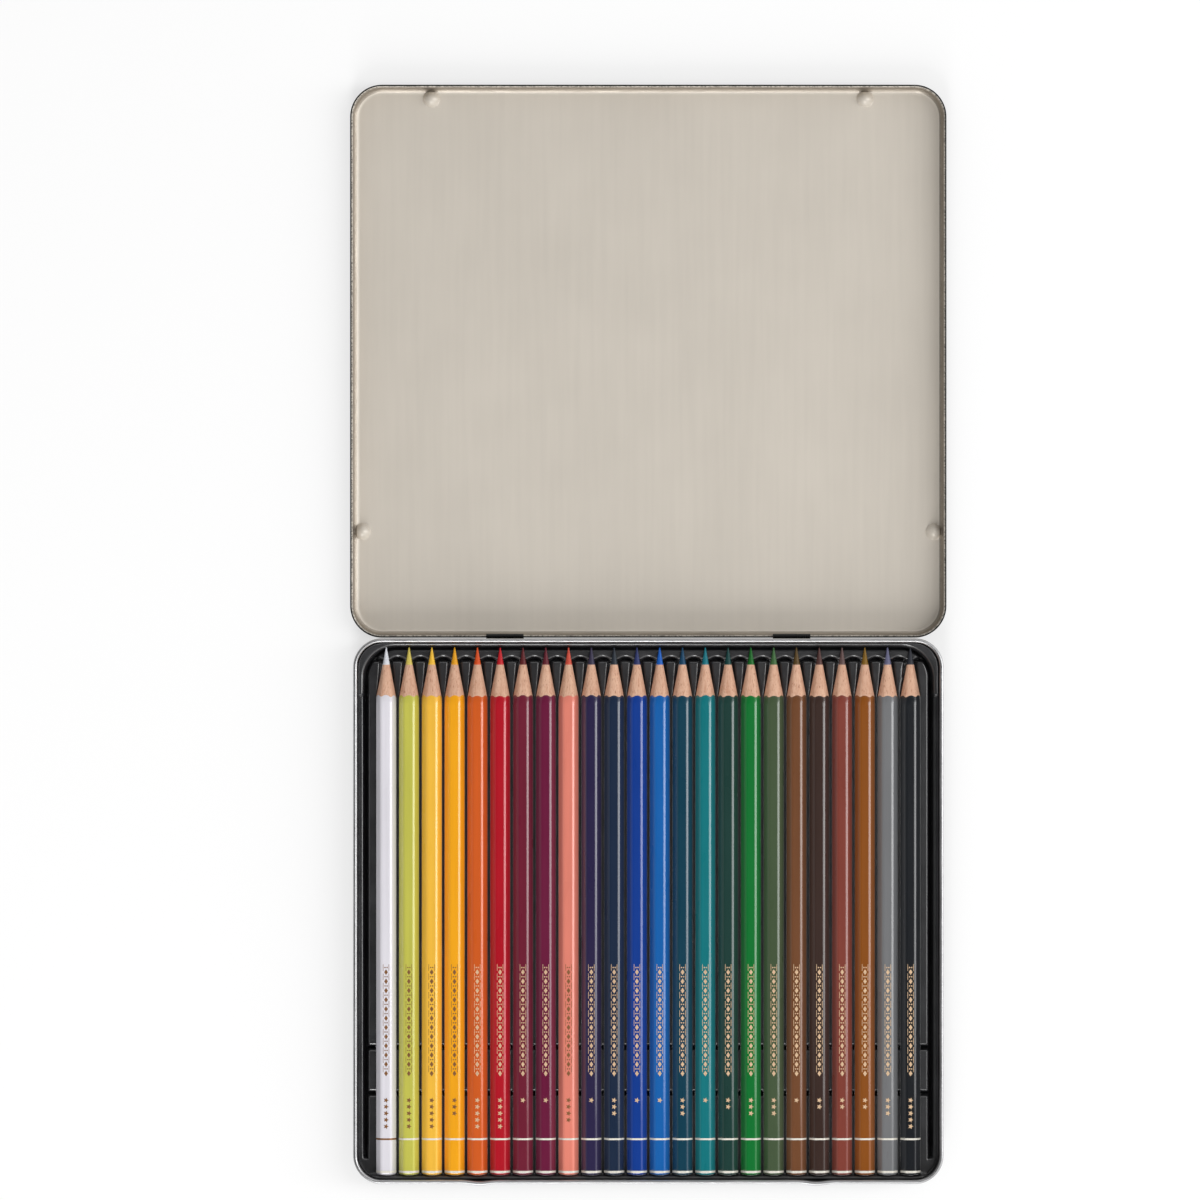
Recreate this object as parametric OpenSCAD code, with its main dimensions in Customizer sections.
// Hinged flat tin that holds one row of sharpened colored pencils in a formed tray.
// The tin lies open: the base is centred on the origin with its underside at z = 0,
// +Y points to the hinge, and the lid is folded flat behind it with its inside up.

/* [Pencils] */
// Number of pencils in the row
pencil_count = 24; // [14:1:28]
// Overall length of a sharpened pencil
pencil_length = 175; // [120:1:200]
// Distance between two opposite flat sides of a pencil
pencil_flats = 6.1; // [5.4:0.1:8.4]
// How far the six long edges are rounded back from a sharp corner
edge_round = 0.08; // [0.02:0.01:0.2]
// Least free space between the corners of two neighbouring pencils
pencil_gap = 0.5; // [0.3:0.05:2]
// Diameter of the colored lead
lead_d = 2.4; // [1.8:0.1:3.8]
// Full angle of the sharpened cone
cone_angle = 20.4; // [16:0.2:30]
// Radius of the blunted lead tip
tip_r = 0.2; // [0.1:0.05:0.4]
// Radius of the rounded, dipped end
dip_r = 1.1; // [0.4:0.1:1.6]
// Thickness of the dip that closes the end over the lead
dip_t = 1.4; // [0.6:0.1:3]

/* [Tin] */
// Thickness of the tinplate
sheet = 0.3; // [0.2:0.02:0.34]
// Room between the row of pencils and each side wall
side_room = 5.8; // [5.4:0.1:12]
// Room between the pencil tips and the back wall
tip_room = 1.7; // [1.4:0.1:6]
// Room between the dipped pencil ends and the front wall
end_room = 1.3; // [1.2:0.1:6]
// Corner radius of the base, measured outside its rim
corner_r = 9.5; // [8.5:0.5:10.5]
// Outer radius of the bend between the floor and the walls of the base
floor_r = 1.5; // [0.6:0.1:1.6]
// Diameter of the rolled rim of the base
rim_d = 1.3; // [0.8:0.1:1.6]
// Height of the rim above the top of the pencils
rim_over = 1.5; // [0.5:0.1:6]
// Room between the rim of the base and the panel of the shut lid
lid_room = 1.9; // [1.6:0.1:2.4]
// Outer radius of the rounded shoulder of the lid
shoulder_r = 2.5; // [1:0.1:3]
// Diameter of the rolled edge of the lid, which is also the hinge bar
edge_d = 0.9; // [0.8:0.05:1.4]
// Gap between the rim of the base and the wall of the closed lid, at the sides and the back
lid_gap = 0.2; // [0.15:0.05:0.5]
// Gap between a snap bulge and the front wall of the closed lid
snap_gap = 0.15; // [0.1:0.05:0.5]

/* [Snap bulges] */
// Distance of each bulge from the side of the base
bulge_inset = 42; // [30:0.5:46]
// Length of a bulge along the rim
bulge_w = 12; // [8:0.5:16]
// How far a bulge pushes the rim outwards
bulge_out = 0.5; // [0.3:0.1:1]
// Height of a bulge, down from the top of the rim
bulge_h = 5; // [3:0.5:7]

/* [Lid pips] */
// Distance from the middle of a pip to the middle of the rim that it stops on
pip_in = 2.15; // [1.8:0.05:2.3]
// Gap between a pip and the rim when the lid is shut
pip_gap = 0.05; // [0.05:0.01:0.2]
// Distance of the front pips from the sides of the lid
pip_from_side = 26.8; // [20:0.2:40]
// Distance of the side pips from the hinge edge of the lid
pip_from_hinge = 35.2; // [20:0.2:50]

/* [Hinge] */
// Distance of each hinge lug from the side of the base
lug_inset = 50.2; // [30:0.2:50.4]
// Width of a hinge lug
lug_w = 12.4; // [6:0.2:12.6]
// Radial clearance between a lug and the bar that it wraps
bar_gap = 0.08; // [0.05:0.01:0.1]
// How far a lug is wrapped round the bar
lug_wrap = 270; // [200:5:290]
// Clearance on each side of a lug in its slot in the lid
slot_gap = 0.45; // [0.2:0.05:1]
// Height of the slot in the lid, up from the middle of the bar
slot_h = 2.2; // [1.6:0.1:3]
// Height of the window that a lug leaves in the back wall
window_h = 4.2; // [2:0.1:4.4]

/* [Tray] */
// Thickness of the formed plastic sheet
tray_t = 0.5; // [0.3:0.05:0.6]
// Gap between the edge of the tray and the walls of the base
tray_gap = 0.3; // [0.15:0.05:0.5]
// Height of the pencil beds above the underside of the tin
bed_h = 4.4; // [3.6:0.1:9]
// Height of the ribs between two beds
rib_h = 2; // [1:0.1:2.2]
// Height of the flange above the beds
flange_h = 5; // [3:0.1:5.4]
// Depth of the lip turned down round the flange
lip_h = 1.6; // [0.8:0.1:2.5]
// Width of the flange beside the pencils
side_flange = 1.8; // [1.4:0.1:2]
// Width of the flange in front of the pencil tips
tip_flange = 0.9; // [0.9:0.05:1.2]
// Width of the moat round the beds
moat_w = 2; // [1.4:0.1:2.2]
// Width of the shelf under the pencil tips
shelf_w = 1.6; // [1.3:0.1:2]
// Width of the scalloped trough between the shelf and the ribs
trough_w = 2.2; // [1.6:0.1:3]
// Height of the trough floors above the underside of the tin
trough_h = 2.6; // [1.6:0.1:3]
// Radius of the two well corners beside the pencil tips
well_r = 11; // [9:0.5:12]
// Distance from the front wall to the rounded end of the side moats
moat_end = 6.6; // [6:0.1:20]
// Radius of the tray's corners beside the dipped ends
row_r = 2; // [1.6:0.1:2.2]
// Clearance between a bed and the flanks of its pencil
bed_gap = 0.15; // [0.1:0.05:0.25]
// Distance from the dipped pencil ends to the middle of the first stiffening groove
groove_1 = 27.2; // [20:0.1:32]
// Distance from the dipped pencil ends to the middle of the second stiffening groove
groove_2 = 42.4; // [38:0.1:80]
// Width of a stiffening groove
groove_w = 2.2; // [1.2:0.1:3]
// Free width on each side of the lead where its bed runs out into the trough
nose_room = 0.8; // [0.5:0.1:1.2]
// Width of the cusps between the scallops of the trough
cusp_w = 0.3; // [0.1:0.05:0.6]

/* [Hidden] */
$fn = 64;
cut = 1;                       // how far a cutting shape runs past what it cuts
lead_fit = 0.01;               // running clearance between a lead and its casing

// Pencil
hex_r = pencil_flats / 2 / cos(30);
round_r = hex_r - edge_round;
pitch = ceil(20 * (2 * hex_r + pencil_gap)) / 20;         // in whole steps of 0.05
taper = cone_angle / 2;
lead_r = lead_d / 2;
tip_x = tip_r * cos(taper);
tip_y = tip_r * (1 - sin(taper));
function cone_at(r) = tip_y + (r - tip_x) / tan(taper);   // distance from the tip to radius r
wood_start = cone_at(lead_r);
cone_end = cone_at(pencil_flats / 2);

// Base
row_w = pencil_count * pitch;
in_w = row_w + 2 * side_room;
in_d = pencil_length + tip_room + end_room;
base_w = in_w + 2 * rim_d;
base_d = in_d + 2 * rim_d;
in_r = corner_r - rim_d;
base_h = bed_h + pencil_flats + rim_over;
floor_in = rim_d - sheet + floor_r;       // from the rim's outline to the flat of the floor
bulge_z = base_h - bulge_h;
bulge_x = base_w / 2 - bulge_inset;
bulge_turn = 2 * atan(2 * bulge_out / bulge_w);
bulge_r = bulge_w / 4 / sin(bulge_turn);

// Lid, as it lies when shut
closed_h = base_h + lid_room + sheet;
pip_r = norm([pip_in, lid_room + rim_d / 2]) - rim_d / 2 - pip_gap;
axis_h = closed_h / 2;
front_gap = bulge_out + snap_gap;
lid_w = base_w + 2 * (lid_gap + edge_d);
lid_d = base_d + lid_gap + front_gap + 2 * edge_d;
lid_y = (lid_gap - front_gap) / 2;
lid_r = corner_r + lid_gap + edge_d;
panel_in = edge_d - sheet + shoulder_r;   // from the lid's outline to the flat of its panel
axis_y = base_d / 2 + lid_gap + edge_d / 2;
pip_y = -(base_d / 2 - rim_d / 2) + pip_in;
pip_x = base_w / 2 - rim_d / 2 - pip_in;

// Hinge lugs
lug_x = base_w / 2 - lug_inset;
lug_in = edge_d / 2 + bar_gap;
lug_out = lug_in + sheet;

// Pencil row
tip_at = in_d / 2 - tip_room;
end_at = tip_at - pencil_length;
axis_z = bed_h + pencil_flats / 2;

// Tray
flange_z = bed_h + flange_h;
rib_z = bed_h + rib_h;
moat_z = sheet + tray_t;
well_x = in_w / 2 - side_flange;
well_y = in_d / 2 - tip_flange;
well_end = -in_d / 2 + moat_end;
row_x = row_w / 2 + bed_gap;
row_end = end_at - tray_gap;
rib_end = well_y - moat_w - shelf_w - trough_w;
foot_low = corner_r + tray_t + cut - base_d / 2;
foot_top = min(-foot_low, well_y - well_r);
bed_w = hex_r / 2 + bed_gap;              // half the width of a bed's floor
rib_out = rib_h * tan(30);                // how far a bed opens on each side, floor to rib top
nose_lap = 0.5;                           // how far a bed runs on into its nose
nose_step = 0.1;                          // how much wider and deeper than the bed its nose is
nose_w = lead_r + bed_gap + nose_room;    // half the width of a bed where it meets the trough
scallop_r = (pitch - cusp_w) / 2;

// Lacquer colors from left to right: [casing, lead]
COLORS = [
    ["#e9e6ee", "#e4e6ec"], ["#c8c850", "#d8c45c"], ["#fdbe3c", "#fac43a"], ["#f9a512", "#eca512"],
    ["#d9601e", "#dc5014"], ["#ba0a24", "#c81422"], ["#731a32", "#601a1e"], ["#6e143c", "#641a28"],
    ["#ea8674", "#d2503c"], ["#2a2249", "#38324c"], ["#192a44", "#28303a"], ["#043c94", "#2a3468"],
    ["#0a64b2", "#0a5ebe"], ["#063e54", "#064264"], ["#047880", "#047482"], ["#1a3e38", "#08403e"],
    ["#047830", "#08681e"], ["#46583c", "#3e6a3a"], ["#74482a", "#5a441e"], ["#3c2a24", "#543430"],
    ["#843e32", "#624a48"], ["#8e4e10", "#825f14"], ["#77787a", "#6a6a88"], ["#181b20", "#2e3038"],
];
BLACK = "#141414";
SILVER = "#a8a8a8";
LACQUER = "#bdb6aa";

function numbered(i, piece) = str("pencil_", i < 10 ? "0" : "", i, "_", piece);
function color_of(i, part) = COLORS[(i - 1) % len(COLORS)][part];

// ---- Sheet metal profiles: x runs outwards from a tin's outline, y runs up ----

// Rolled edge of diameter d
module curl(d) {
    difference() {
        circle(d = d);
        circle(d = d - 2 * sheet);
    }
}

// Quarter bend of outer radius r, in the first quadrant
module bend(r) {
    intersection() {
        difference() {
            circle(r);
            circle(r - sheet);
        }
        square(r);
    }
}

// Floor bend and wall of the base up to height top
module base_wall_profile(top) {
    translate([-floor_in, floor_r]) rotate(-90) bend(floor_r);
    translate([-rim_d, floor_r]) square([sheet, top - floor_r]);
}

// Wall of the base from height low up, with the rolled rim
module base_rim_profile(low) {
    top = base_h - rim_d / 2;
    polygon([[-rim_d, low], [sheet - rim_d, low], [sheet - rim_d, top - sheet], [-rim_d, top]]);
    translate([-rim_d / 2, top]) curl(rim_d);
}

// Wall and shoulder of the lid
module lid_wall_profile() {
    top = closed_h - shoulder_r;
    polygon([[-edge_d, axis_h], [sheet - edge_d, axis_h + sheet], [sheet - edge_d, top], [-edge_d, top]]);
    translate([-panel_in, top]) bend(shoulder_r);
}

// ---- Carrying a profile round an outline ----

// Rounded rectangle of width w, depth d and corner radius r
module rounded_rect(w, d, r) {
    square([w - 2 * r, d], center = true);
    square([w, d - 2 * r], center = true);
    for (x = [-1, 1], y = [-1, 1]) translate([x * (w / 2 - r), y * (d / 2 - r)]) circle(r);
}

// Carries a profile from x = from to x = to along the line y = 0, outwards being +Y
module along(from, to) {
    translate([from, 0, 0]) rotate([90, 0, 90]) linear_extrude(to - from) children();
}

// Carries a profile round a rounded rectangle, but leaves out the front side
module round_three_sides(w, d, r) {
    translate([0, d / 2, 0]) along(r - w / 2, w / 2 - r) children();
    for (side = [-1, 1]) {
        rotate(side * 90) translate([0, w / 2, 0]) along(r - d / 2, d / 2 - r) children();
        for (y = [-1, 1])
            translate([side * (w / 2 - r), y * (d / 2 - r), 0])
                rotate(side > 0 ? (y > 0 ? 0 : 270) : (y > 0 ? 90 : 180))
                    rotate_extrude(angle = 90) translate([r, 0]) children();
    }
}

// Carries a profile over one snap bulge: three arcs that meet in line with the rim
module over_bulge() {
    translate([0, bulge_out - bulge_r, 0])
        rotate(90 - bulge_turn) rotate_extrude(angle = 2 * bulge_turn)
            translate([bulge_r, 0]) children();
    for (side = [0, 1]) mirror([side, 0, 0])
        translate([bulge_w / 2, bulge_r, 0])
            rotate(-90 - bulge_turn) rotate_extrude(angle = bulge_turn)
                translate([bulge_r, 0]) mirror([1, 0]) children();
}

// ---- Base of the tin ----

// Small shelf that joins a bulge to the wall below it
module bulge_ledge() {
    translate([0, 0, bulge_z]) linear_extrude(sheet) intersection() {
        translate([0, bulge_out - bulge_r]) circle(bulge_r - rim_d + sheet);
        translate([-bulge_w / 2, -rim_d]) square([bulge_w, bulge_out + rim_d]);
    }
}

// Front side of the base, with outwards being +Y and its outline on y = 0
module base_front() {
    half = base_w / 2 - corner_r;
    along(-half, half) base_wall_profile(bulge_z);
    along(-half, -bulge_x - bulge_w / 2) base_rim_profile(bulge_z);
    along(-bulge_x + bulge_w / 2, bulge_x - bulge_w / 2) base_rim_profile(bulge_z);
    along(bulge_x + bulge_w / 2, half) base_rim_profile(bulge_z);
    for (x = [-bulge_x, bulge_x]) translate([x, 0, 0]) {
        over_bulge() base_rim_profile(bulge_z);
        bulge_ledge();
    }
}

// Hinge lug: a tab folded out of the back wall and wrapped round the bar of the lid
module hinge_lug() {
    translate([-lug_w / 2, 0, 0]) rotate([90, 0, 90]) linear_extrude(lug_w) {
        translate([-rim_d, axis_h - lug_out]) square([lid_gap + edge_d / 2 + rim_d, sheet]);
        translate([lid_gap + edge_d / 2, axis_h]) intersection() {
            difference() {
                circle(lug_out);
                circle(lug_in);
            }
            wrap_sector();
        }
    }
}

// The part of a circle, from straight down and outwards, that a lug is wrapped round
module wrap_sector() {
    reach = 2 * lug_out;
    polygon(concat([[0, 0]], [for (a = [-90:10:lug_wrap - 90]) reach * [cos(a), sin(a)]]));
}

module tin_base() {
    color(SILVER) {
        difference() {
            union() {
                linear_extrude(sheet)
                    rounded_rect(base_w - 2 * floor_in, base_d - 2 * floor_in, corner_r - floor_in);
                round_three_sides(base_w, base_d, corner_r) {
                    base_wall_profile(base_h - rim_d);
                    base_rim_profile(base_h - rim_d);
                }
                translate([0, -base_d / 2, 0]) rotate(180) base_front();
            }
            for (x = [-lug_x, lug_x])
                translate([x - lug_w / 2, in_d / 2 - cut, axis_h - lug_out - window_h])
                    cube([lug_w, rim_d + cut, window_h]);
        }
        for (x = [-lug_x, lug_x]) translate([x, base_d / 2, 0]) hinge_lug();
    }
}

// ---- Lid of the tin ----

// Lid in its shut place
module shut_lid() {
    slot_w = lug_w + 2 * slot_gap;
    difference() {
        union() {
            difference() {
                union() {
                    translate([0, lid_y, 0]) {
                        translate([0, 0, closed_h - sheet]) linear_extrude(sheet)
                            rounded_rect(lid_w - 2 * panel_in, lid_d - 2 * panel_in, lid_r - panel_in);
                        round_three_sides(lid_w, lid_d, lid_r) lid_wall_profile();
                        rotate(180) translate([0, lid_d / 2, 0])
                            along(lid_r - lid_w / 2, lid_w / 2 - lid_r) lid_wall_profile();
                    }
                }
                for (x = [-lug_x, lug_x])
                    translate([x - slot_w / 2, axis_y - edge_d, axis_h - cut])
                        cube([slot_w, 2 * edge_d, slot_h + cut]);
            }
            translate([0, lid_y, axis_h]) {
                round_three_sides(lid_w, lid_d, lid_r) translate([-edge_d / 2, 0]) curl(edge_d);
                rotate(180) translate([0, lid_d / 2, 0])
                    along(lid_r - lid_w / 2, lid_w / 2 - lid_r) translate([-edge_d / 2, 0]) curl(edge_d);
            }
            at_pips() pip(pip_r);
        }
        at_pips() {
            pip(pip_r - sheet);
            translate([0, 0, -sheet]) cylinder(h = cut + sheet, r = pip_r - sheet);
        }
    }
}

// Lower half of a ball, hung from the underside of the panel
module pip(r) {
    intersection() {
        sphere(r);
        translate([0, 0, -r]) cylinder(h = r, r = r);
    }
}

module at_pips() {
    hinge_edge = lid_y + lid_d / 2;
    for (side = [-1, 1]) {
        translate([side * (lid_w / 2 - pip_from_side), pip_y, closed_h - sheet]) children();
        translate([side * pip_x, hinge_edge - pip_from_hinge, closed_h - sheet]) children();
    }
}

module tin_lid() {
    color(LACQUER)
        translate([0, axis_y, axis_h]) rotate([180, 0, 0]) translate([0, -axis_y, -axis_h])
            shut_lid();
}

// ---- Tray ----

// Outline of the well round the beds, grown by g
module well(g) {
    moat_r = moat_w / 2 + g;
    corner = well_r + g;
    x = well_x + g;
    top = well_y + g;
    low = well_end - g;
    translate([-x, low + moat_r]) square([2 * x, top - corner - low - moat_r]);
    translate([corner - x, top - corner - cut]) square([2 * (x - corner), corner + cut]);
    translate([moat_r - x, low]) square([2 * (x - moat_r), moat_r + cut]);
    for (side = [-1, 1]) {
        translate([side * (x - corner), top - corner]) circle(corner);
        translate([side * (x - moat_r), low + moat_r]) circle(moat_r);
    }
}

// Outline of the island of beds and ribs inside the moat, shrunk by g
module island(g) {
    x = well_x - moat_w - g;
    top = well_y - moat_w - g;
    corner = well_r - moat_w - g;
    low = well_end - moat_w;
    translate([-x, low]) square([2 * x, top - corner - low]);
    translate([corner - x, low]) square([2 * (x - corner), top - low]);
    for (side = [-1, 1]) translate([side * (x - corner), top - corner]) circle(corner);
}

// Outline of the pocket beside the dipped ends, grown by g
module row_pocket(g) {
    x = row_x + g;
    low = row_end - g;
    r = row_r + g;
    top = well_end + moat_w;
    translate([-x, low + r]) square([2 * x, top - low - r]);
    translate([r - x, low]) square([2 * (x - r), top - low]);
    for (side = [-1, 1]) translate([side * (x - r), low + r]) circle(r);
}

// One bed seen from its end: flat floor, sides that follow the lower flanks of the pencil
module bed_section(g) {
    grow = g / cos(30);
    low = bed_h - g;
    half = bed_w + grow - g * tan(30);
    rise = rib_z + tray_t - low;
    polygon([
        [-half, low], [half, low],
        [half + rise * tan(30), low + rise], [-half - rise * tan(30), low + rise],
    ]);
}

// One bed's nose seen from above: it narrows with the sharpened cone
module bed_nose(g) {
    wide = bed_w + rib_out + nose_step + g;
    start = tip_at - cone_end;
    polygon([
        [-wide, start - g], [wide, start - g],
        [nose_w + g, rib_end + cut], [-nose_w - g, rib_end + cut],
    ]);
}

// Sinks an outline from the rib tops down to height z, grown by g
module sink(z, g) {
    translate([0, 0, z - g]) linear_extrude(rib_z + tray_t - z + g) children();
}

// Everything that is sunk into the tray, grown by g for the outside of the sheet
module pockets(g) {
    top = flange_z + (g > 0 ? 0 : cut);
    // Well and pencil row, down to the tops of the ribs
    translate([0, 0, rib_z - g]) linear_extrude(top - rib_z + g) {
        well(g);
        row_pocket(g);
    }
    // Beds
    translate([0, tip_at - cone_end + nose_lap, 0]) rotate([90, 0, 0])
        linear_extrude(tip_at - cone_end + nose_lap - row_end + g)
            for (i = [1:pencil_count]) translate([pencil_x(i), 0]) bed_section(g);
    sink(bed_h - nose_step, g)
        for (i = [1:pencil_count]) translate([pencil_x(i), 0]) bed_nose(g);
    // Moat, deep along the sides where it forms the feet
    sink(trough_h, g) difference() {
        well(g);
        island(g);
    }
    sink(moat_z, g) for (side = [-1, 1])
        translate([side * (well_x - moat_w / 2) - moat_w / 2 - g, foot_low - g])
            square([moat_w + 2 * g, foot_top - foot_low + 2 * g]);
    // Scalloped trough under the leads
    reach = well_x - moat_w / 2;
    sink(trough_h, g) {
        translate([-reach, rib_end - g]) square([2 * reach, trough_w / 2 + 2 * g]);
        intersection() {
            for (i = [0:pencil_count]) translate([pencil_x(i + 0.5), rib_end + trough_w - scallop_r])
                circle(scallop_r + g);
            translate([-reach, rib_end - g]) square([2 * reach, trough_w + 2 * g]);
        }
    }
    // Stiffening grooves across the beds
    sink(trough_h, g)
        for (y = [groove_1, groove_2])
            translate([-reach, end_at + y - groove_w / 2 - g])
                square([2 * reach, groove_w + 2 * g]);
}

module insert_tray() {
    w = in_w - 2 * tray_gap;
    d = in_d - 2 * tray_gap;
    r = in_r - tray_gap;
    color(BLACK) difference() {
        union() {
            translate([0, 0, flange_z - tray_t]) linear_extrude(tray_t) rounded_rect(w, d, r);
            translate([0, 0, flange_z - lip_h]) linear_extrude(lip_h) difference() {
                rounded_rect(w, d, r);
                rounded_rect(w - 2 * tray_t, d - 2 * tray_t, r - tray_t);
            }
            pockets(tray_t);
        }
        pockets(0);
    }
}

// ---- Pencils, built along +Z with the tip at the origin ----

function pencil_x(i) = (i - (pencil_count + 1) / 2) * pitch;

// Lays a pencil in bed i
module in_bed(i) {
    translate([pencil_x(i), tip_at, axis_z]) rotate([90, 0, 0]) children();
}

// Hexagonal wooden casing, sharpened at one end and dipped at the other
module casing() {
    difference() {
        intersection() {
            cylinder(h = pencil_length, r = hex_r, $fn = 6);
            rotate_extrude() {
                polygon([
                    [0, wood_start], [lead_r, wood_start], [round_r, cone_at(round_r)],
                    [round_r, pencil_length - dip_r], [0, pencil_length - dip_r],
                ]);
                translate([0, pencil_length - dip_r]) square([round_r - dip_r, dip_r]);
                translate([round_r - dip_r, pencil_length - dip_r]) circle(dip_r);
            }
        }
        cylinder(h = pencil_length - dip_t, r = lead_r + lead_fit);
    }
}

// Colored lead: round tip, cone flush with the wood, straight core
module lead() {
    rotate_extrude() {
        intersection() {
            translate([0, tip_r]) circle(tip_r);
            square(2 * tip_r);
        }
        polygon([
            [0, tip_y], [tip_x, tip_y], [lead_r, wood_start],
            [lead_r, pencil_length - dip_t - lead_fit], [0, pencil_length - dip_t - lead_fit],
        ]);
    }
}

module pencil_casing(i) {
    color(color_of(i, 0)) in_bed(i) casing();
}

module pencil_lead(i) {
    color(color_of(i, 1)) in_bed(i) lead();
}

tin_base();
tin_lid();
insert_tray();
for (i = [1:pencil_count]) {
    pencil_casing(i);
    pencil_lead(i);
}
